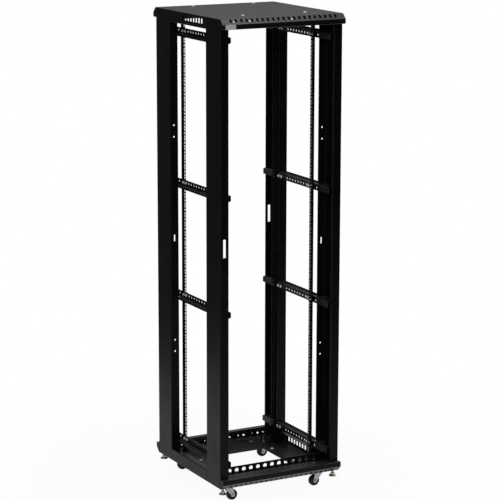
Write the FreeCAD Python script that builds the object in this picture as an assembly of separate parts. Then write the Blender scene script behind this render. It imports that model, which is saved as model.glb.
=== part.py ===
"""Four post open frame rack, 45 units high inside, on swivel casters.

All lengths are millimetres.  The origin is on the floor at the middle of the rack, +Z up, the rack's
front towards -Y and its right side towards +X.  The frame is folded sheet steel: a cover and a base
of the same pressing, four channel posts, eight side braces and four mounting rails.
"""
import FreeCAD, Part
import math
import os

from FreeCAD import Vector

# ---- overall -----------------------------------------------------------------------------------
RACK_WIDTH = 611.0          # outside the posts
POST_SPREAD = 629.0         # from the front faces of the front posts to the rear faces of the rear ones
CAP_OVERHANG = 26.5         # the cover and the base stand out past the posts, front and rear
FRAME_HEIGHT = 2106.0       # underside of the base to the top of the cover
CASTER_HEIGHT = 80.0        # floor to the underside of the base
SHEET = 2.0                 # thickness of the frame's steel
BEND = 2.0                  # inside radius of its bends
SEAT_GAP = 0.3              # clearance where pieces stand beside each other without touching

# ---- cover and base --------------------------------------------------------------------------
FASCIA = 21.0               # upright band at the front and rear
BEVEL_RISE = 24.0           # height of the sloping band beside it
BEVEL_RUN = 22.5            # how far that band leans in
LIP_WIDTH = 61.0            # shelf behind the fascia, between the posts
PAN_OPENING_WIDTH = 308.0   # cable opening in the bottom of the base
PAN_OPENING_DEPTH = 252.0
VENT_COUNT = 21             # slots in each bevel
VENT_MARGIN = 45.5          # from the posts' outer sides to the middle of the first slot
VENT_LENGTH = 19.0          # down the slope
VENT_WIDTH = 11.0
VENT_FOLD_GAP = 2.5         # from the bevel's inner fold to the near end of a slot

# ---- side plates between the posts ---------------------------------------------------------------
SIDE_PLATE_HEIGHT = 54.0
SIDE_PLATE_SHELF = 32.0
SIDE_PLATE_NOTCH = 71.0     # how much of the shelf is missing beside one post
SIDE_VENT_COUNT = 8
SIDE_VENT_PITCH = 26.0
SIDE_VENT_MARGIN = 29.2     # from the end of the plate to the row of vents, which is nearer to one post
SIDE_VENT_WIDTH = 15.0
SIDE_VENT_HEIGHT = 22.0
SIDE_VENT_RISE = 12.0       # from the outside of the cover or base to the near edge of a vent

# ---- posts -----------------------------------------------------------------------------------
POST_WEB = 136.0            # depth of each post, front to rear
POST_FLANGE = 43.0
POST_HEM = 9.0              # small return along the inner edge of each flange
LATCH_LENGTH = 82.0         # tall slot in the outer flange of two opposite posts
LATCH_WIDTH = 13.0
LATCH_RISE = 1101.0         # from the floor's side of the base to the middle of that slot
KEEPER_LENGTH = 30.0        # short slot in the inner flange of the same posts' neighbours
KEEPER_WIDTH = 7.0
HINGE_HOLE = 8.0
HINGE_PITCH = 53.5
HINGE_OFFSET = 502.2        # from the middle of the frame to the middle of each pair of hinge holes

# ---- braces ----------------------------------------------------------------------------------
BRACE_GAP = 14.5            # from the braces' inner faces to the posts' inner edges
BRACE_WEB = 28.0
BRACE_SHELF = 25.0
BRACE_HEM = 8.0
BRACE_END_GAP = 6.0         # from the end of a brace to the post's outer flange
BRACE_TIP = 24.0            # height of the brace at its very ends
BRACE_TONGUE = 40.0         # width of the tongue that reaches the post's web
BRACE_STEP = 262.3          # the two middle levels, above and below the middle of the frame
BRACE_SETBACK = 99.5        # the end levels, from the underside of the base or the top of the cover
BRACE_HOLE = 9.0
BRACE_HOLE_PITCH = 25.4
BRACE_HOLE_COUNT = 13
BRACE_END_HOLE = 196.0      # one more hole towards each end, from the middle of the rack

# ---- mounting rails ------------------------------------------------------------------------------
UNIT = 44.45
RAIL_END_GAP = 12.0         # from a rail's ends to the outside of the base and the cover
RAIL_FACE = 23.0            # width of a rail's mounting face; the rest leaves 450 between the rails
HOLE_EDGE = 7.55            # from that face's edge to its row of holes; the rows are 465.1 apart
SQUARE_HOLE = 9.5
HOLE_STEP = 15.875          # from the middle hole of a unit to its upper and lower ones
RAIL_SHEET = 2.0
RAIL_LEG = 30.0
FRONT_RAIL_RECESS = 4.0     # from the posts' inner faces to the mounting faces of the front rails
REAR_RAIL_STEP = 1.5        # and how far those of the rear rails stand out past the posts' inner faces
RAIL_EAR = 26.0             # height of the tab that is screwed to each brace

# ---- beams between the side posts ----------------------------------------------------------------
BEAM_RECESS = 75.5          # from the posts' front or rear faces to the beams' outer faces
BEAM_WEB = 38.0
BEAM_SHELF = 32.0
BEAM_EDGE = 70.0            # far edge of a beam, from the outside of the base or cover
BEAM_HOLE = 20.0
BEAM_HOLE_PITCH = 36.5
BEAM_HOLE_COUNT = 13
TOP_BEAM_EDGE = 51.0        # the beams under the cover are plain, and their feet lie against it

# ---- casters ---------------------------------------------------------------------------------
CASTER_INSET = 69.5         # swivel axes, from the posts' outer sides
CASTER_RECESS = 64.5        # and from the posts' front or rear faces
CASTER_PLATE = 58.0
CASTER_PLATE_SHEET = 3.0
RACE_DIAMETER = 44.0
RACE_HEIGHT = 8.0
KINGPIN = 10.0
KINGPIN_HEAD = 2.0
FORK_SHEET = 2.5
FORK_GAP = 24.0             # between the fork's legs
FORK_TRAIL = 21.0           # how far the wheel runs behind the swivel axis
FORK_CROWN = 42.0           # diameter of the fork's top
FORK_SHOULDER = 4.0         # how much narrower than the crown the legs start
WHEEL = 50.8
WHEEL_WIDTH = 21.0
TYRE_DEPTH = 7.0
TYRE_SHOULDER = 3.0
HUB_WALL = 5.0
HUB_STEP = 1.0              # the hub is this much wider than the tyre, each side
AXLE = 8.0
AXLE_END = 3.0              # of the axle outside each leg
AXLE_PLAY = 0.06            # all round the axle in the wheel's hub
RACE_PLAY = 0.3             # between the fork's crown and the race above it

# ---- levelling feet ------------------------------------------------------------------------------
FOOT_INSET = 19.5           # stem axes, from the posts' outer sides
FOOT_RECESS = 14.5          # and from the posts' front or rear faces
FOOT_PAD = 36.0
FOOT_PAD_HEIGHT = 8.0
FOOT_PAD_TAPER = 3.0
FOOT_CLEARANCE = 50.0       # from the floor to the raised foot
FOOT_STEM = 10.0
FOOT_STEM_LENGTH = 96.0
FOOT_PLAY = 0.3             # round the stem in the base's hole
NUT_FLATS = 17.0
NUT_HEIGHT = 8.0

# ---- levels and faces that follow ------------------------------------------------------------------
SIDE_FACE = RACK_WIDTH / 2
POST_FACE = POST_SPREAD / 2
CAP_FACE = POST_FACE + CAP_OVERHANG
BASE_BOTTOM = CASTER_HEIGHT
COVER_TOP = BASE_BOTTOM + FRAME_HEIGHT
MIDDLE = BASE_BOTTOM + FRAME_HEIGHT / 2
POST_INNER_FACE = POST_FACE - POST_WEB
POST_EDGE = SIDE_FACE - POST_FLANGE
BRACE_PLANE = POST_EDGE - BRACE_GAP
RAIL_EDGE = BRACE_PLANE - RAIL_FACE
HOLE_ROW = RAIL_EDGE + HOLE_EDGE
BEAM_SETBACK = POST_FACE - BEAM_RECESS
WEB_INSIDE = SIDE_FACE - SHEET
CAP_DEPTH = BEVEL_RISE + FASCIA
BRACE_REACH = FRAME_HEIGHT / 2 - BRACE_SETBACK
CASTER_SIDE = SIDE_FACE - CASTER_INSET
CASTER_SETBACK = POST_FACE - CASTER_RECESS
FOOT_SIDE = SIDE_FACE - FOOT_INSET
FOOT_SETBACK = POST_FACE - FOOT_RECESS
VENT_PITCH = (RACK_WIDTH - 2 * VENT_MARGIN) / (VENT_COUNT - 1)
BRACE_HOLE_RISE = (BRACE_HEM + SHEET) / 2   # the holes' row, from the middle of the brace's height
BRACE_LEVELS = {"top": MIDDLE + BRACE_REACH, "upper": MIDDLE + BRACE_STEP,
                "lower": MIDDLE - BRACE_STEP, "bottom": MIDDLE - BRACE_REACH}
RAIL_EAR_EDGE = (BRACE_HOLE_COUNT - 3) / 2 * BRACE_HOLE_PITCH - BRACE_HOLE
SIDES = {"left": -1, "right": 1}
ENDS = {"front": -1, "rear": 1}


# ---- general helpers -----------------------------------------------------------------------------
def block(x0, x1, y0, y1, z0, z1):
    """A box between two opposite corners."""
    low = Vector(min(x0, x1), min(y0, y1), min(z0, z1))
    return Part.makeBox(abs(x1 - x0), abs(y1 - y0), abs(z1 - z0), low)


def rod(radius, start, direction, length):
    """A round bar from a point along a direction."""
    return Part.makeCylinder(radius, length, start, direction)


def turn_between(first, second):
    """The signed angle from one flat direction to another."""
    return math.atan2(first[0] * second[1] - first[1] * second[0],
                      first[0] * second[0] + first[1] * second[1])


def folded_face(corners, thickness, bend, place):
    """The section of a folded sheet whose middle line runs through the corners.

    Each corner becomes an arc with the given inside radius.  place(u, v) puts a point of the
    section into space.
    """
    def heading(a, b):
        length = math.hypot(b[0] - a[0], b[1] - a[1])
        return ((b[0] - a[0]) / length, (b[1] - a[1]) / length)

    def shifted(point, way, distance):
        return (point[0] - way[1] * distance, point[1] + way[0] * distance)

    middle_radius = bend + thickness / 2
    ways = [heading(a, b) for a, b in zip(corners, corners[1:])]

    def one_side(offset):
        """The straight runs and arcs of the face on one side of the middle line."""
        start = shifted(corners[0], ways[0], offset)
        first = start
        edges = []
        for corner, before, after in zip(corners[1:-1], ways, ways[1:]):
            turn = turn_between(before, after)
            hand = math.copysign(1, turn)
            tangent = middle_radius * math.tan(abs(turn) / 2)
            entry = (corner[0] - before[0] * tangent, corner[1] - before[1] * tangent)
            leave = (corner[0] + after[0] * tangent, corner[1] + after[1] * tangent)
            centre = shifted(entry, before, hand * middle_radius)
            radius = middle_radius - hand * offset
            out = heading(centre, corner)
            crest = (centre[0] + out[0] * radius, centre[1] + out[1] * radius)
            arc_start = shifted(entry, before, offset)
            arc_end = shifted(leave, after, offset)
            edges.append(Part.makeLine(place(*start), place(*arc_start)))
            edges.append(Part.Arc(place(*arc_start), place(*crest), place(*arc_end)).toShape())
            start = arc_end
        last = shifted(corners[-1], ways[-1], offset)
        edges.append(Part.makeLine(place(*start), place(*last)))
        return edges, first, last

    near, near_first, near_last = one_side(thickness / 2)
    far, far_first, far_last = one_side(-thickness / 2)
    ends = [Part.makeLine(place(*near_last), place(*far_last)),
            Part.makeLine(place(*near_first), place(*far_first))]
    wire = Part.Wire(Part.__sortEdges__(near + far + ends))
    return Part.Face(wire)


def along_x(corners, thickness, bend, x0, x1):
    """A folded sheet whose section, given as (y, z), runs from x0 to x1."""
    face = folded_face(corners, thickness, bend, lambda y, z: Vector(x0, y, z))
    return face.extrude(Vector(x1 - x0, 0, 0))


def along_y(corners, thickness, bend, y0, y1):
    """A folded sheet whose section, given as (x, z), runs from y0 to y1."""
    face = folded_face(corners, thickness, bend, lambda x, z: Vector(x, y0, z))
    return face.extrude(Vector(0, y1 - y0, 0))


def along_z(corners, thickness, bend, z0, z1):
    """A folded sheet whose section, given as (x, y), runs from z0 to z1."""
    face = folded_face(corners, thickness, bend, lambda x, y: Vector(x, y, z0))
    return face.extrude(Vector(0, 0, z1 - z0))


def flat_plate(corners, place, thickness):
    """A plate whose outline runs through the corners, extruded by a vector."""
    points = [place(*corner) for corner in corners]
    return Part.Face(Part.makePolygon(points + points[:1])).extrude(thickness)


def slot(length, width, depth):
    """A slot-shaped cutter lying along X, with square ends, centred on the origin."""
    return block(-length / 2, length / 2, -width / 2, width / 2, -depth / 2, depth / 2)


def evenly(count, pitch):
    """Positions of a centred row."""
    return [(index - (count - 1) / 2) * pitch for index in range(count)]


def cut_all(shape, cutters):
    """The shape without all the cutters."""
    return shape.cut(Part.makeCompound(cutters)) if cutters else shape


def mirrored_x(shape, side):
    """The shape on the right, or its mirror image on the left."""
    return shape if side > 0 else shape.mirror(Vector(0, 0, 0), Vector(1, 0, 0))


def mirrored_y(shape, end):
    """The shape at the rear, or its mirror image at the front."""
    return shape if end > 0 else shape.mirror(Vector(0, 0, 0), Vector(0, 1, 0))


def upside_down(shape):
    """The same piece at the top of the frame, mirrored across its middle height."""
    return shape.mirror(Vector(0, 0, MIDDLE), Vector(0, 0, 1))


# ---- cover and base --------------------------------------------------------------------------
def cap_shell():
    """The pressing that both the base and the cover are made from, drawn as the base."""
    half = SHEET / 2
    bottom = BASE_BOTTOM + half
    face = CAP_FACE - half
    shelf = BASE_BOTTOM + CAP_DEPTH - half
    half_section = [
        (CAP_FACE - LIP_WIDTH, shelf),
        (face, shelf),
        (face, BASE_BOTTOM + BEVEL_RISE),
        (face - BEVEL_RUN, bottom),
    ]
    section = half_section + [(-y, z) for y, z in reversed(half_section)]
    shell = along_x(section, SHEET, BEND, -SIDE_FACE, SIDE_FACE)
    return shell


def post_notches():
    """Room for the four posts in the shelf behind each fascia."""
    notches = []
    for side in SIDES.values():
        for end in ENDS.values():
            notches.append(block(side * (POST_EDGE - SEAT_GAP), side * (SIDE_FACE + 1),
                                 end * (POST_FACE + SEAT_GAP), end * POST_INNER_FACE,
                                 BASE_BOTTOM + SHEET + 1, BASE_BOTTOM + CAP_DEPTH + 1))
    return notches


def cap_end_plates():
    """The small plates that close the ends of each fascia, flush with the posts' sides."""
    half = SHEET / 2
    outline = [
        (POST_FACE + SEAT_GAP, BASE_BOTTOM + SHEET),
        (CAP_FACE - BEVEL_RUN, BASE_BOTTOM + SHEET),
        (CAP_FACE - SHEET, BASE_BOTTOM + BEVEL_RISE),
        (CAP_FACE - SHEET, BASE_BOTTOM + CAP_DEPTH - SHEET),
        (POST_FACE + SEAT_GAP, BASE_BOTTOM + CAP_DEPTH - SHEET),
    ]
    plates = []
    for side in SIDES.values():
        for end in ENDS.values():
            plates.append(flat_plate(outline, lambda y, z: Vector(side * SIDE_FACE, end * y, z),
                                     Vector(-side * SHEET, 0, 0)))
    return plates


def bevel_vents():
    """The row of slots in each sloping band.  They run down the slope, close to its inner fold."""
    lean = math.degrees(math.atan2(BEVEL_RISE, BEVEL_RUN))
    along = (VENT_FOLD_GAP + VENT_LENGTH / 2) / math.hypot(BEVEL_RISE, BEVEL_RUN)
    cutters = []
    for x in evenly(VENT_COUNT, VENT_PITCH):
        for end in ENDS.values():
            cutter = slot(VENT_WIDTH, VENT_LENGTH, 6 * SHEET)
            cutter.rotate(Vector(0, 0, 0), Vector(1, 0, 0), end * lean)
            cutter.translate(Vector(x, end * (CAP_FACE - BEVEL_RUN * (1 - along)),
                                    BASE_BOTTOM + BEVEL_RISE * along))
            cutters.append(cutter)
    return cutters


def cap():
    """Base or cover before its own openings are cut."""
    shell = cut_all(cap_shell(), post_notches())
    shell = shell.fuse(cap_end_plates()).removeSplitter()
    return cut_all(shell, bevel_vents())


def base_pan():
    """The base: the pressing with its cable opening and the holes for the levelling feet."""
    opening = block(-PAN_OPENING_WIDTH / 2, PAN_OPENING_WIDTH / 2,
                    -PAN_OPENING_DEPTH / 2, PAN_OPENING_DEPTH / 2,
                    BASE_BOTTOM - 1, BASE_BOTTOM + SHEET + 1)
    cutters = [opening]
    for side in SIDES.values():
        for end in ENDS.values():
            cutters.append(rod(FOOT_STEM / 2 + FOOT_PLAY,
                               Vector(side * FOOT_SIDE, end * FOOT_SETBACK, BASE_BOTTOM - 1),
                               Vector(0, 0, 1), SHEET + 2))
    return cut_all(cap(), cutters)


def side_plate(side, vented=True):
    """The plate that closes the base's side between two posts, with its shelf and vents.

    The two sides are the same part turned about, so the notch and the vents change ends.
    """
    half = SHEET / 2
    top = BASE_BOTTOM + SIDE_PLATE_HEIGHT
    section = [
        (SIDE_FACE - half, BASE_BOTTOM + SHEET),
        (SIDE_FACE - half, top - half),
        (SIDE_FACE - SIDE_PLATE_SHELF, top - half),
    ]
    reach = POST_INNER_FACE - SEAT_GAP
    plate = along_y(section, SHEET, BEND, -reach, reach)
    cutters = [block(SIDE_FACE - SIDE_PLATE_SHELF - 1, SIDE_FACE - SHEET - BEND,
                     -side * (reach - SIDE_PLATE_NOTCH), -side * (reach + 1), top - 2 * SHEET, top + 1)]
    low = BASE_BOTTOM + SIDE_VENT_RISE
    row = (SIDE_VENT_COUNT - 1) * SIDE_VENT_PITCH + SIDE_VENT_WIDTH
    for along in evenly(SIDE_VENT_COUNT if vented else 0, SIDE_VENT_PITCH):
        y = along + side * (reach - SIDE_VENT_MARGIN - row / 2)
        cutters.append(block(SIDE_FACE - 2 * SHEET, SIDE_FACE + 1,
                             y - SIDE_VENT_WIDTH / 2, y + SIDE_VENT_WIDTH / 2,
                             low, low + SIDE_VENT_HEIGHT))
    return mirrored_x(cut_all(plate, cutters), side)


def beam(end):
    """A cross beam of the base, from side post to side post, with its row of round holes."""
    half = SHEET / 2
    top = BASE_BOTTOM + BEAM_EDGE
    section = [
        (BEAM_SETBACK - half, top),
        (BEAM_SETBACK - half, top - BEAM_WEB + half),
        (BEAM_SETBACK - BEAM_SHELF, top - BEAM_WEB + half),
    ]
    bar = along_x(section, SHEET, BEND, -WEB_INSIDE, WEB_INSIDE)
    holes = []
    for x in evenly(BEAM_HOLE_COUNT, BEAM_HOLE_PITCH):
        holes.append(rod(BEAM_HOLE / 2, Vector(x, BEAM_SETBACK - 2 * SHEET, top - BEAM_WEB / 2),
                         Vector(0, 1, 0), 3 * SHEET))
    return mirrored_y(cut_all(bar, holes), end)


def plain_beam(end):
    """A cross beam of the cover, drawn in the base: its foot lies flat on the pressing."""
    half = SHEET / 2
    foot = BASE_BOTTOM + SHEET + half
    section = [
        (BEAM_SETBACK - half, BASE_BOTTOM + TOP_BEAM_EDGE),
        (BEAM_SETBACK - half, foot),
        (BEAM_SETBACK - BEAM_SHELF, foot),
    ]
    return mirrored_y(along_x(section, SHEET, BEND, -WEB_INSIDE, WEB_INSIDE), end)


# ---- posts -----------------------------------------------------------------------------------
def post(side, end):
    """A channel post: web outside, two flanges with small hems, open towards the rack's middle."""
    half = SHEET / 2
    web = SIDE_FACE - half
    outer = POST_FACE - half
    inner = POST_INNER_FACE + half
    edge = POST_EDGE + half
    section = [
        (edge, outer - POST_HEM + half),
        (edge, outer),
        (web, outer),
        (web, inner),
        (edge, inner),
        (edge, inner + POST_HEM - half),
    ]
    channel = along_z(section, SHEET, BEND, BASE_BOTTOM + SHEET, COVER_TOP - SHEET)
    cutters = post_slots(side * end)
    return mirrored_y(mirrored_x(cut_all(channel, cutters), side), end)


def post_slots(hand):
    """Latch slot on one diagonal pair of posts, keeper slot and hinge holes on the other."""
    middle_x = SIDE_FACE - POST_FLANGE / 2
    latch_z = BASE_BOTTOM + LATCH_RISE
    if hand > 0:
        return [block(middle_x - LATCH_WIDTH / 2, middle_x + LATCH_WIDTH / 2,
                      POST_FACE - 2 * SHEET, POST_FACE + 1,
                      latch_z - LATCH_LENGTH / 2, latch_z + LATCH_LENGTH / 2)]
    keeper_z = latch_z - LATCH_LENGTH / 2
    cutters = [block(middle_x - KEEPER_WIDTH / 2, middle_x + KEEPER_WIDTH / 2,
                     POST_INNER_FACE - 1, POST_INNER_FACE + 2 * SHEET,
                     keeper_z - KEEPER_LENGTH / 2, keeper_z + KEEPER_LENGTH / 2)]
    for pair in (-1, 1):
        for z in evenly(2, HINGE_PITCH):
            cutters.append(rod(HINGE_HOLE / 2,
                               Vector(middle_x, POST_INNER_FACE - 1, MIDDLE + pair * HINGE_OFFSET + z),
                               Vector(0, 1, 0), 3 * SHEET))
    return cutters


# ---- braces ----------------------------------------------------------------------------------
def brace(side, level):
    """A side brace: perforated web, shelf turned out to the posts, and a stiffening hem.

    The same part serves both sides, turned end over end, so the shelf is at the bottom on the left
    and at the top on the right.
    """
    half = SHEET / 2
    bottom = -(BRACE_WEB + BRACE_HEM) / 2
    shelf = bottom + BRACE_HEM
    top = bottom + BRACE_WEB + BRACE_HEM
    web = BRACE_PLANE + half
    reach = POST_FACE - SHEET - BRACE_END_GAP
    middle_reach = POST_INNER_FACE - 3 * SHEET
    middle = along_y([(web, top), (web, shelf + half),
                      (web + BRACE_SHELF, shelf + half), (web + BRACE_SHELF, bottom)],
                     SHEET, BEND, -middle_reach, middle_reach)
    pieces = [middle]
    hem_inside = POST_INNER_FACE + POST_HEM + 2 * SHEET
    tongue = hem_inside + BRACE_TONGUE
    hem_outside = POST_FACE - POST_HEM - 2 * SHEET
    for end in ENDS.values():
        pieces.append(along_y([(web, top), (web, shelf + half), (POST_EDGE - SHEET, shelf + half)],
                              SHEET, BEND, end * middle_reach, end * hem_inside))
        pieces.append(along_y([(web, top), (web, shelf + half),
                               (WEB_INSIDE - half, shelf + half), (WEB_INSIDE - half, shelf + BRACE_TIP)],
                              SHEET, BEND, end * hem_inside, end * tongue))
        pieces.append(along_y([(web, top), (web, shelf + half), (web + BRACE_SHELF, shelf + half)],
                              SHEET, BEND, end * tongue, end * hem_outside))
        pieces.append(block(BRACE_PLANE, BRACE_PLANE + SHEET, end * hem_outside, end * reach,
                            top - BRACE_TIP, top))
    bar = pieces[0].fuse(pieces[1:]).removeSplitter()
    holes = []
    hole_z = (shelf + SHEET + top) / 2
    for y in evenly(BRACE_HOLE_COUNT, BRACE_HOLE_PITCH) + [-BRACE_END_HOLE, BRACE_END_HOLE]:
        holes.append(rod(BRACE_HOLE / 2, Vector(BRACE_PLANE - 1, y, hole_z), Vector(1, 0, 0), 2 * SHEET))
    bar = cut_all(bar, holes)
    if side > 0:
        bar = bar.mirror(Vector(0, 0, 0), Vector(0, 0, 1))
    bar.translate(Vector(0, 0, level))
    return mirrored_x(bar, side)


# ---- mounting rails ------------------------------------------------------------------------------
def unit_heights(low, high):
    """The middles of the units that fit between two heights, one of them at the frame's middle."""
    each_way = int(((high - low) / UNIT - 1) / 2)
    return [MIDDLE + index * UNIT for index in range(-each_way, each_way + 1)]


def rail(side, end):
    """A mounting rail: an angle with three square holes to the unit in its mounting face.

    Its leg is narrow, and widens at each brace into the tab that takes the screws.
    """
    half = RAIL_SHEET / 2
    setback = POST_INNER_FACE + (REAR_RAIL_STEP if end > 0 else -FRONT_RAIL_RECESS)
    leg = BRACE_PLANE - half
    low = BASE_BOTTOM + RAIL_END_GAP
    high = COVER_TOP - RAIL_END_GAP
    angle = along_z([(RAIL_EDGE, setback - half), (leg, setback - half), (leg, setback - RAIL_LEG)],
                    RAIL_SHEET, BEND, low, high)
    ears = []
    for level in BRACE_LEVELS.values():
        middle = level - side * BRACE_HOLE_RISE
        ears.append(block(BRACE_PLANE - RAIL_SHEET, BRACE_PLANE,
                          RAIL_EAR_EDGE, setback - RAIL_LEG / 2,
                          middle - RAIL_EAR / 2, middle + RAIL_EAR / 2))
    holes = []
    for centre in unit_heights(low, high):
        for z in (centre - HOLE_STEP, centre, centre + HOLE_STEP):
            holes.append(block(HOLE_ROW - SQUARE_HOLE / 2, HOLE_ROW + SQUARE_HOLE / 2,
                               setback - 2 * RAIL_SHEET, setback + 1,
                               z - SQUARE_HOLE / 2, z + SQUARE_HOLE / 2))
    bar = cut_all(angle.fuse(ears).removeSplitter(), holes)
    return mirrored_y(mirrored_x(bar, side), end)


# ---- casters ---------------------------------------------------------------------------------
def caster_plate(side, end):
    """The bolted plate with the upper race and the kingpin that the fork turns on."""
    x, y = side * CASTER_SIDE, end * CASTER_SETBACK
    half = CASTER_PLATE / 2
    plate = block(x - half, x + half, y - half, y + half, BASE_BOTTOM - CASTER_PLATE_SHEET, BASE_BOTTOM)
    race_top = BASE_BOTTOM - CASTER_PLATE_SHEET
    race = Part.makeCone(RACE_DIAMETER / 2 - RACE_HEIGHT / 3, RACE_DIAMETER / 2, RACE_HEIGHT,
                         Vector(x, y, race_top - RACE_HEIGHT))
    head_low = crown_top() - FORK_SHEET - RACE_PLAY - KINGPIN_HEAD
    pin = rod(KINGPIN / 2, Vector(x, y, head_low), Vector(0, 0, 1), race_top - head_low)
    head = rod(KINGPIN * 0.8, Vector(x, y, head_low), Vector(0, 0, 1), KINGPIN_HEAD)
    return plate.fuse([race, pin, head]).removeSplitter()


def crown_top():
    """Height of the top of the fork's crown."""
    return BASE_BOTTOM - CASTER_PLATE_SHEET - RACE_HEIGHT - RACE_PLAY


def caster_fork(side, end):
    """The swivelling fork with its axle, trailing towards the middle of the rack."""
    trail = -side * FORK_TRAIL
    x, y = side * CASTER_SIDE, end * CASTER_SETBACK
    top = crown_top()
    half_gap = FORK_GAP / 2
    crown = rod(FORK_CROWN / 2, Vector(0, 0, top - FORK_SHEET), Vector(0, 0, 1), FORK_SHEET)
    crown = crown.common(block(-FORK_CROWN, FORK_CROWN, -half_gap - FORK_SHEET, half_gap + FORK_SHEET,
                               top - FORK_SHEET, top))
    crown = crown.cut(rod(KINGPIN / 2 + AXLE_PLAY, Vector(0, 0, top - FORK_SHEET - 1), Vector(0, 0, 1),
                          FORK_SHEET + 2))
    wide = FORK_CROWN / 2 - FORK_SHOULDER
    foot = AXLE * 0.9
    outline = [(-wide, top), (wide, top), (trail + foot, WHEEL / 2), (trail - foot, WHEEL / 2)]
    pieces = [crown]
    for hand in (-1, 1):
        inside = hand * half_gap
        leg = flat_plate(outline, lambda u, v: Vector(u, inside, v), Vector(0, hand * FORK_SHEET, 0))
        boss = rod(foot, Vector(trail, inside, WHEEL / 2), Vector(0, hand, 0), FORK_SHEET)
        pieces += [leg, boss]
    length = FORK_GAP + 2 * (FORK_SHEET + AXLE_END)
    pieces.append(rod(AXLE / 2, Vector(trail, -length / 2, WHEEL / 2), Vector(0, 1, 0), length))
    fork = pieces[0].fuse(pieces[1:]).removeSplitter()
    fork.translate(Vector(x, y, 0))
    return fork


def caster_wheel(side, end):
    """A wheel: tyre with rounded shoulders, hub a little wider than the tyre."""
    radius = WHEEL / 2
    half = WHEEL_WIDTH / 2
    bore = AXLE / 2 + AXLE_PLAY
    hub = half + HUB_STEP
    boss = bore + HUB_WALL
    tyre = radius - TYRE_DEPTH
    edge = half - TYRE_SHOULDER
    section = [(bore, -hub), (boss, -hub), (boss, -edge), (tyre, -edge), (tyre, -half),
               (radius - TYRE_SHOULDER, -half), (radius, -edge)]
    section += [(r, -w) for r, w in reversed(section)]
    face = Part.Face(Part.makePolygon([Vector(r, w, 0) for r, w in section + section[:1]]))
    wheel = face.revolve(Vector(0, 0, 0), Vector(0, 1, 0), 360)
    wheel.translate(Vector(side * (CASTER_SIDE - FORK_TRAIL), end * CASTER_SETBACK, WHEEL / 2))
    return wheel


# ---- levelling feet ------------------------------------------------------------------------------
def levelling_foot(side, end):
    """A screwed foot: pad, hexagon and stem, raised clear of the floor."""
    low = FOOT_CLEARANCE
    pad = Part.makeCone(FOOT_PAD / 2, FOOT_PAD / 2 - FOOT_PAD_TAPER, FOOT_PAD_HEIGHT, Vector(0, 0, low))
    corner = NUT_FLATS / math.sqrt(3)
    points = [Vector(corner * math.cos(math.radians(60 * i)), corner * math.sin(math.radians(60 * i)),
                     low + FOOT_PAD_HEIGHT) for i in range(7)]
    hexagon = Part.Face(Part.makePolygon(points)).extrude(Vector(0, 0, NUT_HEIGHT))
    stem = rod(FOOT_STEM / 2, Vector(0, 0, low), Vector(0, 0, 1), FOOT_STEM_LENGTH)
    foot = pad.fuse([hexagon, stem]).removeSplitter()
    foot.translate(Vector(side * FOOT_SIDE, end * FOOT_SETBACK, 0))
    return foot


# ---- the assembly --------------------------------------------------------------------------------
def rack():
    """Every piece of the rack under its node's name."""
    nodes = {"base_pan": base_pan(), "top_cover": upside_down(cap())}
    for end_name, end in ENDS.items():
        nodes[f"{end_name}_base_beam"] = beam(end)
        nodes[f"{end_name}_top_beam"] = upside_down(plain_beam(end))
    for side_name, side in SIDES.items():
        nodes[f"{side_name}_base_plate"] = side_plate(side, vented=side > 0)
        nodes[f"{side_name}_top_plate"] = upside_down(side_plate(side))
        for level_name, level in BRACE_LEVELS.items():
            nodes[f"{side_name}_{level_name}_brace"] = brace(side, level)
        for end_name, end in ENDS.items():
            corner = f"{end_name}_{side_name}"
            nodes[f"{corner}_post"] = post(side, end)
            nodes[f"{corner}_rail"] = rail(side, end)
            nodes[f"{corner}_caster_plate"] = caster_plate(side, end)
            nodes[f"{corner}_caster_fork"] = caster_fork(side, end)
            nodes[f"{corner}_caster_wheel"] = caster_wheel(side, end)
            nodes[f"{corner}_levelling_foot"] = levelling_foot(side, end)
    return nodes


os.makedirs("parts", exist_ok=True)
for name, shape in rack().items():
    if len(shape.Solids) != 1:
        print(name, "has", len(shape.Solids), "solids")
    if not shape.isValid():
        print(name, "is not valid")
    shape.exportStep(f"parts/{name}.step")
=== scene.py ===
# %% [markdown]
# # A four post open frame rack
# The folded steel frame comes in as a fixed model, already the right size and in the right place.
# This notebook dresses it: coats and platings for the steel, and the small parts that a frame
# model leaves out, such as screws, tyres, ball races and threads. Lengths are metres, the floor
# is z = 0, the rack's front looks towards -Y and its right side is +X.

# %% Load the frame
import math

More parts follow.
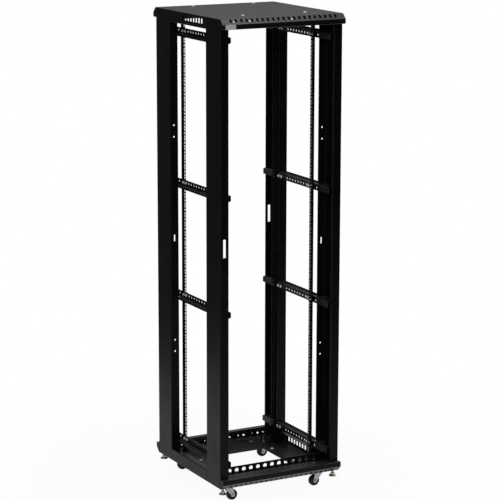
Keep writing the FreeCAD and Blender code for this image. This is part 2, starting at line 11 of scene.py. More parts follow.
import bpy
import numpy as np
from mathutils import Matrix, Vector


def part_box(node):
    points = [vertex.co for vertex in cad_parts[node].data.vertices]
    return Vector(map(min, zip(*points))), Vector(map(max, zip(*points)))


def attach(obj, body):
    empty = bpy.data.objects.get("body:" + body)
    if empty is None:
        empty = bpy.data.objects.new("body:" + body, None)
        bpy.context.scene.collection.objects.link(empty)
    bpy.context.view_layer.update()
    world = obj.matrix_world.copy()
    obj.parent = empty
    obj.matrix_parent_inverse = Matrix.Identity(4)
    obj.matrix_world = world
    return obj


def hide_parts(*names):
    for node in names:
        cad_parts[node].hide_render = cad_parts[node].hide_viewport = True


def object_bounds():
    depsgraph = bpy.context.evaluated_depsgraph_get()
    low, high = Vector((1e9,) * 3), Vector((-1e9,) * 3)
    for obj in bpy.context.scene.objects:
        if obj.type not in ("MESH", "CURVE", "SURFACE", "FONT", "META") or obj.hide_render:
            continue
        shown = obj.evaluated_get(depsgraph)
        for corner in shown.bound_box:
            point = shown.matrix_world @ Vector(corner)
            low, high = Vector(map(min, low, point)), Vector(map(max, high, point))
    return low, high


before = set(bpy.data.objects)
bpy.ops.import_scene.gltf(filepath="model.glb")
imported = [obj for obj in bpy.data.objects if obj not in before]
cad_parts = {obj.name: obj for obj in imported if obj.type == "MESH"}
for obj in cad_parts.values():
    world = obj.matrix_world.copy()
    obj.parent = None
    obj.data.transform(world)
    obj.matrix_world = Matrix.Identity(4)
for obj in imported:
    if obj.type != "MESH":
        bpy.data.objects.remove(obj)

FRAME_BOX = [list(corner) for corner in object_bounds()]
print("nodes", len(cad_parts), "box", FRAME_BOX)

# %% [markdown]
# ## From numbers to meshes
# Every added part is a surface worked out with numpy. A part that is turned on a lathe is a
# profile carried round an axis, and a bolt's head is nearly that, with a radius that changes
# round the hexagon. So one function joins a grid of points with faces, and another puts many
# copies of a shape into one mesh, which keeps hundreds of bolts light.

# %% Grids of points, and copies of a shape
MM = 0.001


def ring_faces(rows, columns):
    """Quads between neighbouring rings of points, closed round each ring.

    Point (i, j) is number i * columns + j, and each quad is (i, j), (i, j+1), (i+1, j+1), (i+1, j).
    """
    i, j = np.meshgrid(np.arange(rows - 1), np.arange(columns), indexing="ij")
    near, far = i * columns + j, i * columns + (j + 1) % columns
    return np.stack([near, far, far + columns, near + columns], axis=-1).reshape(-1, 4)


def closed_rings(points):
    """Vertices and faces of rings (rows, columns, 3), with a flat fan over each end ring."""
    rows, columns, _ = points.shape
    middle = points[[0, -1]].mean(axis=1)
    vertices = np.concatenate([points.reshape(-1, 3), middle])
    quads = ring_faces(rows, columns)
    around = np.arange(columns)
    after = (around + 1) % columns
    last = (rows - 1) * columns
    low = np.stack([after, around, np.full(columns, rows * columns)], axis=-1)
    high = np.stack([last + around, last + after, np.full(columns, rows * columns + 1)], axis=-1)
    return vertices, [*quads.tolist(), *low.tolist(), *high.tolist()]


def placed(shape, origins, axis=(0, 0, 1)):
    """Copies of a shape at each origin, with its own z axis turned to point along axis.

    The turn's columns are two sideways directions and the axis itself, so each vertex becomes
    origin + x * side + y * other + z * axis.
    """
    vertices, faces = shape
    up = np.array(axis, float) / np.linalg.norm(axis)
    side = np.cross((0.0, 0.0, 1.0) if abs(up[2]) < 0.9 else (0.0, 1.0, 0.0), up)
    side /= np.linalg.norm(side)
    turn = np.stack([side, np.cross(up, side), up])
    origins = np.atleast_2d(np.array(origins, float))
    moved = (vertices @ turn)[None] + origins[:, None]
    copies = [[v + k * len(vertices) for v in face] for k in range(len(origins)) for face in faces]
    return moved.reshape(-1, 3), copies


def joined(*shapes):
    """Several shapes as one."""
    vertices, faces, start = [], [], 0
    for shape_vertices, shape_faces in shapes:
        vertices.append(shape_vertices)
        faces += [[v + start for v in face] for face in shape_faces]
        start += len(shape_vertices)
    return np.concatenate(vertices), faces


def piece(name, shape, body, material, smooth=30):
    """A mesh object from a shape, shaded smooth up to an angle, that rides on one body."""
    vertices, faces = shape
    mesh = bpy.data.meshes.new(name)
    mesh.from_pydata(vertices.tolist(), [], faces)
    mesh.validate()
    mesh.shade_smooth()
    mesh.set_sharp_from_angle(angle=math.radians(smooth))
    mesh.materials.append(material)
    made = bpy.data.objects.new(name, mesh)
    bpy.context.scene.collection.objects.link(made)
    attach(made, body)
    print(name, len(faces), "faces on", body)
    return made


# %% Turned shapes
def turned(profile, columns=32):
    """A profile of (radius, height) in mm carried round the z axis.

    A point is (r cos a, r sin a, h), with the angle a running once round.
    """
    profile = np.array(profile, float) * MM
    angle = np.linspace(0, 2 * np.pi, columns, endpoint=False)
    radius, height = profile[:, :1], profile[:, 1:]
    flat = radius * np.cos(angle), radius * np.sin(angle), height + 0 * angle
    return closed_rings(np.stack(flat, axis=-1))


def hexagon_radius(angle, flats):
    """Distance from the middle to the side of a hexagon: half its flats over a cosine."""
    return flats / 2 / np.cos((angle + np.pi / 6) % (np.pi / 3) - np.pi / 6)


def hex_head(flats, height, columns=36):
    """A hexagonal head in mm, standing on z = 0, its top corners cut by a 30 degree cone.

    The cone lowers the top by tan 30 times the distance outside a circle a little inside the flats.
    """
    angle = np.linspace(0, 2 * np.pi, columns, endpoint=False)
    side = hexagon_radius(angle, flats)
    crown = np.full_like(angle, flats * 0.47)
    radius = np.stack([side, side, crown])
    cut = np.maximum(side - flats * 0.47, 0) * math.tan(math.radians(30))
    level = np.stack([0 * angle, height - cut, height + 0 * angle])
    points = np.stack([radius * np.cos(angle), radius * np.sin(angle), level], axis=-1) * MM
    return closed_rings(points)


def thread(radius, pitch, length, columns=20, steps=5):
    """A screw thread in mm: the radius dips by a triangle wave of the pitch that climbs as it turns.

    At height z and angle a the dip is 0.6 pitch times how far (z / pitch - a / turn) is from a
    whole number.
    """
    angle = np.linspace(0, 2 * np.pi, columns, endpoint=False)[None]
    height = np.linspace(0, length, int(length / pitch * steps))[:, None]
    phase = height / pitch - angle / (2 * np.pi)
    dip = 1.2 * np.abs(phase - np.round(phase)) * pitch * 0.5
    points = np.stack([(radius - dip) * np.cos(angle), (radius - dip) * np.sin(angle),
                       height + 0 * angle], axis=-1)
    return closed_rings(points * MM)


print("a head has", len(hex_head(10, 4)[1]), "faces")

# %% [markdown]
# ## Colours and shader nodes
# Colours are chosen as sRGB, the way a colour card or a paint chart gives them, but a shader
# mixes light in linear values. One function does that step for every colour in the scene.

# %% Colour, and a small helper for nodes
def srgb(code):
    """A linear colour from a hex code such as "1B1C1E": the sRGB curve undone, channel by channel."""
    values = np.array([int(code[k:k + 2], 16) for k in (0, 2, 4)]) / 255
    linear = np.where(values <= 0.04045, values / 12.92, ((values + 0.055) / 1.055) ** 2.4)
    return (*linear.tolist(), 1.0)


def add(tree, kind, inputs=None, **settings):
    """Adds one node: settings are its properties, inputs its socket values or links."""
    node = tree.nodes.new(kind)
    for key, value in settings.items():
        setattr(node, key, value)
    for key, value in (inputs or {}).items():
        if isinstance(value, bpy.types.NodeSocket):
            tree.links.new(value, node.inputs[key])
        else:
            node.inputs[key].default_value = value
    return node


def new_material(name):
    """A material with an empty node tree, its output and a Principled shader joined up."""
    material = bpy.data.materials.new(name)
    material.use_nodes = True
    tree = material.node_tree
    tree.nodes.clear()
    shader = add(tree, "ShaderNodeBsdfPrincipled")
    add(tree, "ShaderNodeOutputMaterial", {"Surface": shader.outputs[0]})
    return material, tree, shader


# %% [markdown]
# ## Black powder coat
# The frame is sprayed with polyester powder and baked. The powder flows out into a fine
# orange-peel skin of about half a millimetre, near black and half matt. The folds are drawn
# lighter, a painted highlight with some rubbed wear. Upright faces get a lower sheen, which is
# painted shade, and dust settles on what faces up. Grain that fine is smaller than a rendered
# dot, so it is drawn coarser, at about 2 mm, to keep its broken sheen.

# %% Powder coat
def powder_coat(name, colour, highlight_and_wear, dust, rough=(0.34, 0.44), sheen=0.1, grain=2.0):
    """Near-black coat with orange peel of a grain in mm, a painted highlight with some wear on the folds
    and a dusty top.

    The sheen is that of upright faces, and level and sloping ones have the usual 0.5. A real coat
    is even: this difference is matched, is painted shade on upright faces and isn't a property of the
    paint.
    """
    material, tree, shader = new_material(name)
    place = add(tree, "ShaderNodeTexCoord").outputs["Object"]
    peel = add(tree, "ShaderNodeTexNoise", {"Vector": place, "Scale": 1 / (grain * MM), "Detail": 2.0})
    cloud = add(tree, "ShaderNodeTexNoise", {"Vector": place, "Scale": 7.0, "Detail": 4.0})
    bump = add(tree, "ShaderNodeBump", {"Height": peel.outputs["Fac"], "Strength": 0.35,
                                        "Distance": 0.25 * MM})
    # Painted highlight with some wear: the folds are found from how far the bevel normal turns from the
    # face, and they get a lighter colour broken up by noise.
    rounded = add(tree, "ShaderNodeBevel", {"Radius": 2.2 * MM}, samples=4)
    normal = add(tree, "ShaderNodeNewGeometry").outputs["Normal"]
    same = add(tree, "ShaderNodeVectorMath", {0: rounded.outputs[0], 1: normal}, operation="DOT_PRODUCT")
    edge = add(tree, "ShaderNodeMapRange", {"Value": same.outputs["Value"], "From Min": 0.995,
                                            "From Max": 0.86, "To Min": 0.0, "To Max": 1.0})
    fold_highlight_and_wear = add(tree, "ShaderNodeMath", {0: edge.outputs[0], 1: cloud.outputs["Fac"]},
                 operation="MULTIPLY", use_clamp=True)
    up = add(tree, "ShaderNodeSeparateXYZ", {0: normal}).outputs["Z"]
    settled = add(tree, "ShaderNodeMapRange", {"Value": up, "From Min": 0.6, "From Max": 1.0,
                                               "To Min": 0.0, "To Max": 1.0})
    dusty = add(tree, "ShaderNodeMath", {0: settled.outputs[0], 1: cloud.outputs["Fac"]},
                operation="MULTIPLY", use_clamp=True)
    tint = add(tree, "ShaderNodeMix", {"Factor": fold_highlight_and_wear.outputs[0], "A": srgb(colour), "B": srgb(highlight_and_wear)},
               data_type="RGBA")
    skin = add(tree, "ShaderNodeMix", {"Factor": dusty.outputs[0], "A": tint.outputs["Result"],
                                       "B": srgb(dust)}, data_type="RGBA")
    gloss = add(tree, "ShaderNodeMapRange", {"Value": cloud.outputs["Fac"], "From Min": 0.3,
                                             "From Max": 0.7, "To Min": rough[0], "To Max": rough[1]})
    tree.links.new(skin.outputs["Result"], shader.inputs["Base Color"])
    tree.links.new(gloss.outputs[0], shader.inputs["Roughness"])
    tree.links.new(bump.outputs[0], shader.inputs["Normal"])
    # Painted shade: upright faces get a lower specular level than level and sloping ones.
    slope = add(tree, "ShaderNodeMath", {0: up}, operation="ABSOLUTE")
    upright_shade_sheen = add(tree, "ShaderNodeMapRange", {"Value": slope.outputs[0], "From Min": 0.3,
                                              "From Max": 0.6, "To Min": sheen, "To Max": 0.5})
    tree.links.new(upright_shade_sheen.outputs[0], shader.inputs["Specular IOR Level"])
    shader.inputs["IOR"].default_value = 1.5
    return material


# Each coat sets its black, its lighter fold colour (a painted highlight with some wear) and its dust
# colour.
cover_coat = powder_coat("powder coat, cover", "0C0C0D", "3E3F41", "1C1C1E", rough=(0.38, 0.48))
base_coat = powder_coat("powder coat, base", "0C0C0D", "434446", "202022")
post_coat = powder_coat("powder coat, posts", "080809", "2E2F31", "1A1A1C")
brace_coat = powder_coat("powder coat, braces", "0A0A0B", "3C3D3F", "262628")
rail_coat = powder_coat("powder coat, rails", "080809", "2E2F31", "1A1A1C")

# %% [markdown]
# ## Zinc and rubber
# Caster forks and feet are pressed steel with bright zinc on it, which is a soft bluish grey
# with faint crystals. The small screws have a zinc flake coat, which is paler, a trace warmer and
# less like a mirror. The tyres are moulded black rubber, matt on the tread.

# %% Platings
def plating(name, colour, tinge, rough=(0.26, 0.42), grain=1.6, metal=1.0):
    """Plated steel: metal whose colour drifts to a tinge and whose roughness follows small crystals.

    A flake coat scatters part of the light as paint does, so its metal is less than 1.
    """
    material, tree, shader = new_material(name)
    place = add(tree, "ShaderNodeTexCoord").outputs["Object"]
    crystal = add(tree, "ShaderNodeTexVoronoi", {"Vector": place, "Scale": 1 / (grain * MM)})
    drift = add(tree, "ShaderNodeTexNoise", {"Vector": place, "Scale": 45.0, "Detail": 3.0})
    tint = add(tree, "ShaderNodeMix", {"Factor": drift.outputs["Fac"], "A": srgb(colour),
                                       "B": srgb(tinge)}, data_type="RGBA")
    gloss = add(tree, "ShaderNodeMapRange", {"Value": crystal.outputs["Distance"], "From Min": 0.0,
                                             "From Max": 0.8, "To Min": rough[0], "To Max": rough[1]})
    bump = add(tree, "ShaderNodeBump", {"Height": drift.outputs["Fac"], "Strength": 0.12,
                                        "Distance": 0.3 * MM})
    shader.inputs["Metallic"].default_value = metal
    tree.links.new(tint.outputs["Result"], shader.inputs["Base Color"])
    tree.links.new(gloss.outputs[0], shader.inputs["Roughness"])
    tree.links.new(bump.outputs[0], shader.inputs["Normal"])
    return material


zinc = plating("bright zinc plate", "A9ABAC", "8E9296")
foot_zinc = plating("zinc plate, yellowed", "A8A596", "8D8B80")
screw_zinc = plating("zinc flake coat, screws", "E4E2DB", "D2D0C8", rough=(0.3, 0.45), metal=0.35)


# %% Rubber and plastic
def moulded(name, colour, lighter, rough, grain=1.2):
    """Moulded rubber or plastic: one colour with a faint bloom and a fine matt skin."""
    material, tree, shader = new_material(name)
    place = add(tree, "ShaderNodeTexCoord").outputs["Object"]
    skin = add(tree, "ShaderNodeTexNoise", {"Vector": place, "Scale": 1 / (grain * MM), "Detail": 3.0})
    bloom = add(tree, "ShaderNodeTexNoise", {"Vector": place, "Scale": 60.0, "Detail": 2.0})
    tint = add(tree, "ShaderNodeMix", {"Factor": bloom.outputs["Fac"], "A": srgb(colour),
                                       "B": srgb(lighter)}, data_type="RGBA")
    bump = add(tree, "ShaderNodeBump", {"Height": skin.outputs["Fac"], "Strength": 0.2,
                                        "Distance": 0.2 * MM})
    tree.links.new(tint.outputs["Result"], shader.inputs["Base Color"])
    tree.links.new(bump.outputs[0], shader.inputs["Normal"])
    shader.inputs["Roughness"].default_value = rough
    shader.inputs["IOR"].default_value = 1.5
    shader.inputs["Specular IOR Level"].default_value = 0.3
    return material


tyre_rubber = moulded("tyre rubber", "0B0B0C", "131314", 0.66)
hub_nylon = moulded("hub nylon", "1A1A1B", "242425", 0.42)

# %% [markdown]
# ## Coats on the frame's own pieces
# The frame's pieces already have their shape, so each only gets its finish, chosen by the last
# word of its name.

# %% Give each frame piece its finish
FINISHES = {"pan": base_coat, "cover": cover_coat, "beam": brace_coat, "plate": base_coat,
            "brace": brace_coat, "post": post_coat, "rail": rail_coat, "caster_plate": zinc,
            "caster_fork": zinc, "levelling_foot": foot_zinc}

for name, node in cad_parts.items():
    words = name.split("_")
    finish = FINISHES.get("_".join(words[-2:])) or FINISHES.get(words[-1])
    if finish:
        node.data.materials.clear()
        node.data.materials.append(finish)
print("coated", sum(1 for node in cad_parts.values() if node.data.materials))

# %% [markdown]
# ## Wheels
# A small caster wheel is a rubber tyre moulded onto a nylon centre. The tyre's tread is a little
# crowned and its shoulders are round, which a superellipse gives in one formula. The centre is
# dished between its rim and its boss.

# %% Tyre and hub
WHEEL_RADIUS = 25.4
TYRE_WIDTH = 21.0
CORNERS = [(end, side) for end in ("front", "rear") for side in ("left", "right")]


def tyre_shape(columns=72, rows=28):
    """A superellipse section, |x/a|^2.6 + |y/b|^2.6 = 1, swept round the wheel's axle (its z axis)."""
    inner = 17.5
    half_height, half_width = (WHEEL_RADIUS - inner) / 2, TYRE_WIDTH / 2
    around = np.linspace(0, 2 * np.pi, rows, endpoint=False)[:, None]
    power = 2 / 2.6
    out = np.sign(np.cos(around)) * np.abs(np.cos(around)) ** power * half_height + inner + half_height
    along = np.sign(np.sin(around)) * np.abs(np.sin(around)) ** power * half_width
    seam = 0.25 * np.exp(-(along / 0.7) ** 2) * (out > inner + half_height)
    angle = np.linspace(0, 2 * np.pi, columns, endpoint=False)[None]
    radius = out - seam
    points = np.stack([radius * np.cos(angle), radius * np.sin(angle), along + 0 * angle], axis=-1)
    quads = ring_faces(rows + 1, columns) % (rows * columns)
    return (points * MM).reshape(-1, 3), quads.tolist()


def hub_shape():
    """Half the dished centre's profile, mirrored, turned round the axle."""
    half = [(4.1, 11.4), (8.2, 11.4), (9.0, 10.8), (9.2, 7.6), (11.0, 6.6), (15.6, 7.0), (16.6, 9.0),
            (18.0, 9.3), (18.4, 8.6)]
    profile = [(r, -h) for r, h in half] + [(r, h) for r, h in half[::-1]]
    return turned(profile, columns=48)


for end, side in CORNERS:
    node = f"{end}_{side}_caster_wheel"
    low, high = (np.array(corner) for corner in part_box(node))
    middle = (low + high) / 2
    body = f"{end}_{side}_wheel"
    tyre = piece(f"{end}_{side}_tyre", placed(tyre_shape(), middle, (0, 1, 0)), body, tyre_rubber,
                 60)
    hub = piece(f"{end}_{side}_hub", placed(hub_shape(), middle, (0, 1, 0)), body, hub_nylon,
                40)
    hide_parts(node)
    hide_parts(node)

# %% [markdown]
# ## Caster forks and hardware
# A fork is one strip of sheet, pressed over at the crown, its two cheeks tapering down to the
# axle. That is a path across the crown and down both cheeks, with a width and a sideways shift
# at each point of it. Between the plate and the fork runs a ring of balls under a rolled cap,
# and an axle bolt holds the wheel. Four bolts go up through the base pan.

# %% Forks
FORK_SHEET = 2.5
FORK_GAP = 24.0
CROWN_HALF = 20.5


def fork_shape(top, axle, trail, sheet=FORK_SHEET, gap=FORK_GAP, bend=4.0, eye=9.5):
    """A pressed fork in mm: a strip whose path, seen from behind, is an arch with round corners.

    Down each cheek the half width falls evenly from the crown to the eye round the axle, below
    which it is that of a circle, root(eye^2 - depth^2), and the middle shifts by the trail.
    """
    half = (gap + sheet) / 2
    crown = top - sheet / 2
    turn = np.linspace(0, np.pi / 2, 7)
    below = np.sin(np.linspace(0, 0.49 * np.pi, 10)) * eye
    down = np.concatenate([np.linspace(crown - bend, axle, 12)[1:], axle - below[1:]])
    y = np.concatenate([[0, half / 3], half - bend + bend * np.sin(turn), np.full(len(down), half)])
    z = np.concatenate([[crown, crown], crown - bend + bend * np.cos(turn), down])
    lean = np.concatenate([[0, 0], turn, np.full(len(down), np.pi / 2)])
    y, z = np.concatenate([-y[:0:-1], y]), np.concatenate([z[:0:-1], z])
    lean = np.concatenate([-lean[:0:-1], lean])
    share = np.clip((crown - bend - z) / (crown - bend - axle), 0, 1)
    width = CROWN_HALF - (CROWN_HALF - eye) * share
    width = np.where(z < axle, np.sqrt(np.maximum(eye ** 2 - (axle - z) ** 2, 0)), width)
    across = np.concatenate([np.linspace(-1, 1, 7), np.linspace(1, -1, 7)])[None]
    face = np.repeat([sheet / 2, -sheet / 2], 7)[None]
    x = (trail * share)[:, None] + width[:, None] * across
    points = np.stack([x, y[:, None] + face * np.sin(lean)[:, None],
                       z[:, None] + face * np.cos(lean)[:, None]], axis=-1)
    return closed_rings(points * MM)


# %% Races, axle bolts and plate bolts
PLATE_BOLT_REACH = 22           # from the swivel axis to each bolt of its plate, both ways


def rounded_cap(radius, height, lip):
    """A rolled cap: a profile that bulges to the radius between two narrower rims."""
    bulge = np.linspace(0, np.pi, 9)
    rim = radius - lip
    return turned([(rim + lip * math.sin(a), height * a / math.pi) for a in bulge], columns=40)


for end, side in CORNERS:
    corner = f"{end}_{side}"
    plate_low, plate_high = (np.array(c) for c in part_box(f"{corner}_caster_plate"))
    fork_low, fork_high = (np.array(c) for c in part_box(f"{corner}_caster_fork"))
    wheel_low, wheel_high = (np.array(c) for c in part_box(f"{corner}_caster_wheel"))
    swivel = (plate_low + plate_high) / 2
    hub_middle = (wheel_low + wheel_high) / 2
    race_low = (swivel[0], swivel[1], fork_high[2] + 0.8 * MM)
    race = placed(rounded_cap(22.6, 5.6, 2.4), race_low)
    piece(f"{corner}_race", race, "frame", zinc, 50)
    trail = (hub_middle[0] - swivel[0]) / MM
    fork = fork_shape(fork_high[2] / MM, hub_middle[2] / MM, trail)
    fork = piece(f"{corner}_fork", placed(fork, (swivel[0], swivel[1], 0)), f"{corner}_caster", zinc,
                 35)
    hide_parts(f"{corner}_caster_fork")
    out = (FORK_GAP / 2 + FORK_SHEET) * MM
    cap = joined(turned([(7.2, 0), (7.2, 0.9), (6.8, 1.1)], 28), hex_head(11, 3.0),
                 turned([(4.0, 2.6), (3.8, 3.6), (2.9, 4.3), (1.2, 4.6)], 20))
    rod = turned([(3.9, -14.5), (3.9, 14.5)], 20)
    piece(f"{corner}_axle_bolt", joined(placed(cap, hub_middle - (0, out, 0), (0, -1, 0)),
                                        placed(cap, hub_middle + (0, out, 0), (0, 1, 0)),
                                        placed(rod, hub_middle, (0, 1, 0))),
          f"{corner}_caster", zinc)
    reach = PLATE_BOLT_REACH * MM
    spots = [(swivel[0] + dx * reach, swivel[1] + dy * reach) for dx in (-1, 1) for dy in (-1, 1)]
    under = [(x, y, plate_high[2] - 3 * MM) for x, y in spots]
    over = [(x, y, plate_high[2] + 2 * MM) for x, y in spots]
    bolt = joined(turned([(7.5, 0), (7.5, 1.1), (7.1, 1.3)], 24), hex_head(10, 5.0))
    top = joined(turned([(7.5, 0), (7.5, 1.1), (7.1, 1.3)], 24), hex_head(10, 6.2),
                 turned([(3, 6), (3, 8.6), (2.4, 9.2)], 16))
    piece(f"{corner}_plate_bolts", joined(placed(bolt, under, (0, 0, -1)), placed(top, over)),
          "frame", zinc)

# %% [markdown]
# ## Levelling feet
# A foot's stem is threaded M10 for its whole length. The thread is a true helix, its radius a
# wave that climbs as it turns, so its shadow lines slope as a real screw's do.

# %% Threads, pads and lock nuts
def foot_shape(length):
    """Pad with a rounded rim, hexagon, and threaded stem, in one lathe-and-helix mesh."""
    pad = turned([(16.2, 0), (17.6, 0.5), (18.0, 1.6), (18.0, 2.6), (17.4, 3.4), (15.6, 5.0),
                  (12.6, 7.2), (11.4, 8.0)], 48)
    vertices, faces = hex_head(17, 8)
    raised = (vertices + (0, 0, 8 * MM), faces)
    vertices, faces = thread(5, 1.5, length - 16.2)
    stem = (vertices + (0, 0, 16 * MM), faces)
    return joined(pad, raised, stem)


for end, side in CORNERS:
    corner = f"{end}_{side}"
    low, high = (np.array(c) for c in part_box(f"{corner}_levelling_foot"))
    base = ((low[0] + high[0]) / 2, (low[1] + high[1]) / 2, low[2])
    foot = piece(f"{corner}_foot_screw", placed(foot_shape((high[2] - low[2]) / MM), base),
                 f"{corner}_foot", foot_zinc, 40)
    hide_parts(f"{corner}_levelling_foot")
    pan_top = (base[0], base[1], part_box("base_pan")[0][2] + 2 * MM)
    piece(f"{corner}_foot_nut", placed(hex_head(17, 6), pan_top), "frame", zinc)

# %% [markdown]
# ## Screws of the rails
# Each rail has a tab at each side brace, held by two screws one hole of the brace apart. They are
# zinc plated and go on after the coat, so they make small bright points inside the black frame.

# %% Rail screws and nuts
BRACE_HOLE_PITCH = 25.4
ROW_SHIFT = 5                   # the row of holes sits this far off the brace's middle
LEVELS = {level: {side: [np.array(c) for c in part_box(f"{side}_{level}_brace")]
                  for side in ("left", "right")} for level in ("top", "upper", "lower", "bottom")}


def pan_head(radius, height, columns=20):
    """A low dome: its height falls with the square of the distance from the middle."""
    out = np.linspace(1, 0.12, 5)
    dome = [(radius * s, height * (1 - 0.75 * s ** 2)) for s in out]
    return turned([(radius * 0.94, 0), (radius, height * 0.12), *dome], columns)


def rail_screws(side, hand):
    """Where the screws go: on the leg's inner face, at the level of the brace's row of holes."""
    spots = []
    for level in LEVELS.values():
        low, high = level[side]
        middle = (low[2] + high[2]) / 2 - hand * ROW_SHIFT * MM
        spots += [(hole * BRACE_HOLE_PITCH * MM, middle) for hole in (-6, -5, 5, 6)]
    return spots


for side, hand in (("left", -1), ("right", 1)):
    spots = rail_screws(side, hand)
    leg = max(abs(v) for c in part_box(f"front_{side}_rail") for v in c[:1])
    inner = [(hand * (leg - 2 * MM), y, z) for y, z in spots]
    outer = [(hand * (leg + 2 * MM), y, z) for y, z in spots]
    washer = turned([(7.5, 0), (7.5, 0.9), (7.0, 1.1)], 24)
    head = joined(washer, hex_head(10, 4.6))
    nut = joined(turned([(6.2, 0), (6.2, 0.8)], 24), hex_head(10, 5.4), turned([(3, 5), (3, 7.5)], 14))
    piece(f"{side}_rail_screws", joined(placed(head, inner, (-hand, 0, 0)),
                                        placed(nut, outer, (hand, 0, 0))),
          "frame", screw_zinc)

# %% [markdown]
# ## Cover and base screws, and a blank plate
# Low domed screws hold the cover down. At the left end of the front band sits a small plate
# with nothing on it, where a maker would put a name.

# %% Cover screws and blank plate
top = FRAME_BOX[1][2]
cover_spots = [(x * MM, y * MM, top) for x in (-136, 176) for y in (-205, 276)]
piece("cover_screws", placed(pan_head(8, 3.4, 28), cover_spots), "frame", screw_zinc)
front = FRAME_BOX[0][1]
slope_spots = [(x * MM, front + 10.1 * MM, top - 13.2 * MM) for x in (-247, -169, 39)]
piece("slope_screws", placed(pan_head(5, 2.4, 24), slope_spots, (0, -24, 22.5)), "frame", zinc)
pan_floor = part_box("base_pan")[0][2] + 2 * MM
pan_spots = [(x * side * MM, y * end * MM, pan_floor) for side in (-1, 1) for end in (-1, 1)
             for x, y in ((190, 105), (157, 250))]
piece("pan_screws", placed(pan_head(8, 3.5, 28), pan_spots), "frame", screw_zinc)


def rounded_plate(width, height, thick, corner, columns=48):
    """A plate with round corners, standing on z = 0: a superellipse of power 8, its edge eased."""
    angle = np.linspace(0, 2 * np.pi, columns, endpoint=False)
    power = 2 / 8
    x = np.sign(np.cos(angle)) * np.abs(np.cos(angle)) ** power * width / 2
    y = np.sign(np.sin(angle)) * np.abs(np.sin(angle)) ** power * height / 2
    levels = [(1.0, 0.0), (1.0, thick - corner), (1 - corner / width, thick)]
    rows = [np.stack([x * s, y * (1 - (1 - s) * width / height), 0 * x + z], axis=-1) for s, z in levels]
    return closed_rings(np.stack(rows) * MM)


blank = placed(rounded_plate(51, 21, 0.6, 0.3), (-0.267, front, top - 0.0335), (0, -1, 0))
label_grey = moulded("grey enamel, label", "A4A5A6", "B2B3B4", 0.45)
piece("blank_plate", blank, "frame", label_grey)

# %% [markdown]
# ## Floor, light and camera
# The floor is pale and plain, and the world behind it white. A black coat shows what it mirrors
# more than its own colour, so as in a studio the rack stands between large dark boards, out of
# the picture: they keep its upright faces black, and leave the light to the tops and slopes.
# Soft lamps hang over the front and beside it.

# %% Floor, boards and world
def stage_plane(name, corners, material):
    """A flat four-cornered part of the studio, which isn't part of the rack."""
    mesh = bpy.data.meshes.new(name)
    mesh.from_pydata(np.array(corners, float).tolist(), [], [(0, 1, 2, 3)])
    mesh.materials.append(material)
    made = bpy.data.objects.new(name, mesh)
    bpy.context.scene.collection.objects.link(made)
    return made


def seen_directly(tree):
    """1 for camera, glossy and transmission rays, 0 for the rest."""
    path = add(tree, "ShaderNodeLightPath").outputs
    first = add(tree, "ShaderNodeMath", {0: path["Is Camera Ray"], 1: path["Is Glossy Ray"]},
                operation="MAXIMUM")
    return add(tree, "ShaderNodeMath", {0: first.outputs[0], 1: path["Is Transmission Ray"]},
               operation="MAXIMUM").outputs[0]


floor_paint, tree, shader = new_material("pale studio floor")
shader.inputs["Base Color"].default_value = srgb("F4F4F4")
shader.inputs["Roughness"].default_value = 0.9
shader.inputs["Specular IOR Level"].default_value = 0.0
place = add(tree, "ShaderNodeTexCoord").outputs["Object"]
away = add(tree, "ShaderNodeVectorMath", {0: place}, operation="LENGTH")
plain = add(tree, "ShaderNodeMapRange", {"Value": away.outputs["Value"], "From Min": 0.5,
                                         "From Max": 2.0, "To Min": 0.95, "To Max": 1.0})
share = add(tree, "ShaderNodeMath", {0: seen_directly(tree), 1: plain.outputs[0]},
            operation="MULTIPLY")
glow = add(tree, "ShaderNodeEmission", {"Color": (1, 1, 1, 1), "Strength": 1.0})
mixed = add(tree, "ShaderNodeMixShader", {0: share.outputs[0], 1: shader.outputs[0],
                                          2: glow.outputs[0]})
tree.links.new(mixed.outputs[0], tree.nodes["Material Output"].inputs["Surface"])
REACH = 60.0
stage_plane("studio_floor", [(-REACH, -REACH, -0.0005), (REACH, -REACH, -0.0005),
                             (REACH, REACH, -0.0005), (-REACH, REACH, -0.0005)], floor_paint)


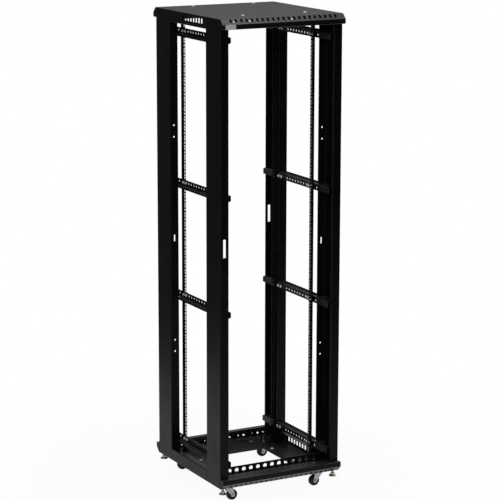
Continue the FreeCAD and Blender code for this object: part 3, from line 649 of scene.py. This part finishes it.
def board(name, start, end, low, high, level):
    """An upright dark board between two points of the floor's plan, of an even level of grey.

    It is mirrored and it shades, but is hidden from the camera, so that it never stands in front
    of the rack in a view from another side.
    """
    material, tree, shader = new_material(name)
    grey = add(tree, "ShaderNodeEmission", {"Color": (1, 1, 1, 1), "Strength": level})
    tree.links.new(grey.outputs[0], tree.nodes["Material Output"].inputs["Surface"])
    made = stage_plane(name, [(*start, low), (*end, low), (*end, high), (*start, high)], material)
    made.visible_camera = False


board("front_board", (-0.8, -3.2), (4.0, -0.55), 0.0, 6.0, 0.03)
board("left_board", (-3.9, 0.15), (-0.55, 2.0), 0.0, 6.0, 0.07)
board("rear_board", (-0.1, 9.1), (7.7, 4.7), 1.6, 7.0, 0.27)

world = bpy.data.worlds.new("studio")
bpy.context.scene.world = world
world.use_nodes = True
tree = world.node_tree
tree.nodes.clear()
soft = add(tree, "ShaderNodeBackground", {"Color": srgb("E8ECF0"), "Strength": 0.25})
white = add(tree, "ShaderNodeBackground", {"Color": (1, 1, 1, 1), "Strength": 1.0})
both = add(tree, "ShaderNodeMixShader", {0: seen_directly(tree), 1: soft.outputs[0],
                                         2: white.outputs[0]})
add(tree, "ShaderNodeOutputWorld", {"Surface": both.outputs[0]})


# %% Lamps and camera
def lamp(name, where, target, size, watts):
    """A square soft lamp that looks at a target point."""
    light = bpy.data.lights.new(name, "AREA")
    light.size, light.energy = size, watts
    made = bpy.data.objects.new(name, light)
    bpy.context.scene.collection.objects.link(made)
    back = np.array(where, float) - np.array(target, float)
    flat = math.hypot(back[0], back[1])
    made.location = where
    made.rotation_euler = (math.atan2(flat, back[2]), 0, math.atan2(back[0], -back[1]))
    return made


lamp("front_softbox", (0.15, -0.71, 4.2), (0, -0.33, 2.17), 1.2, 26)
lamp("key", (-3.2, -4.2, 4.4), (0, 0, 1.1), 2.4, 150)
lamp("fill", (3.6, 0.2, 3.2), (0, 0, 1.0), 2.4, 60)

camera_data = bpy.data.cameras.new("camera")
camera_data.lens = 149.35
camera_data.sensor_width = 36
camera = bpy.data.objects.new("camera", camera_data)
bpy.context.scene.collection.objects.link(camera)
camera.location = (-4.4047, -8.1826, 3.0765)
camera.rotation_euler = tuple(math.radians(turn) for turn in (77.926, -0.101, -28.339))
bpy.context.scene.camera = camera
bpy.context.scene.view_settings.view_transform = "Standard"
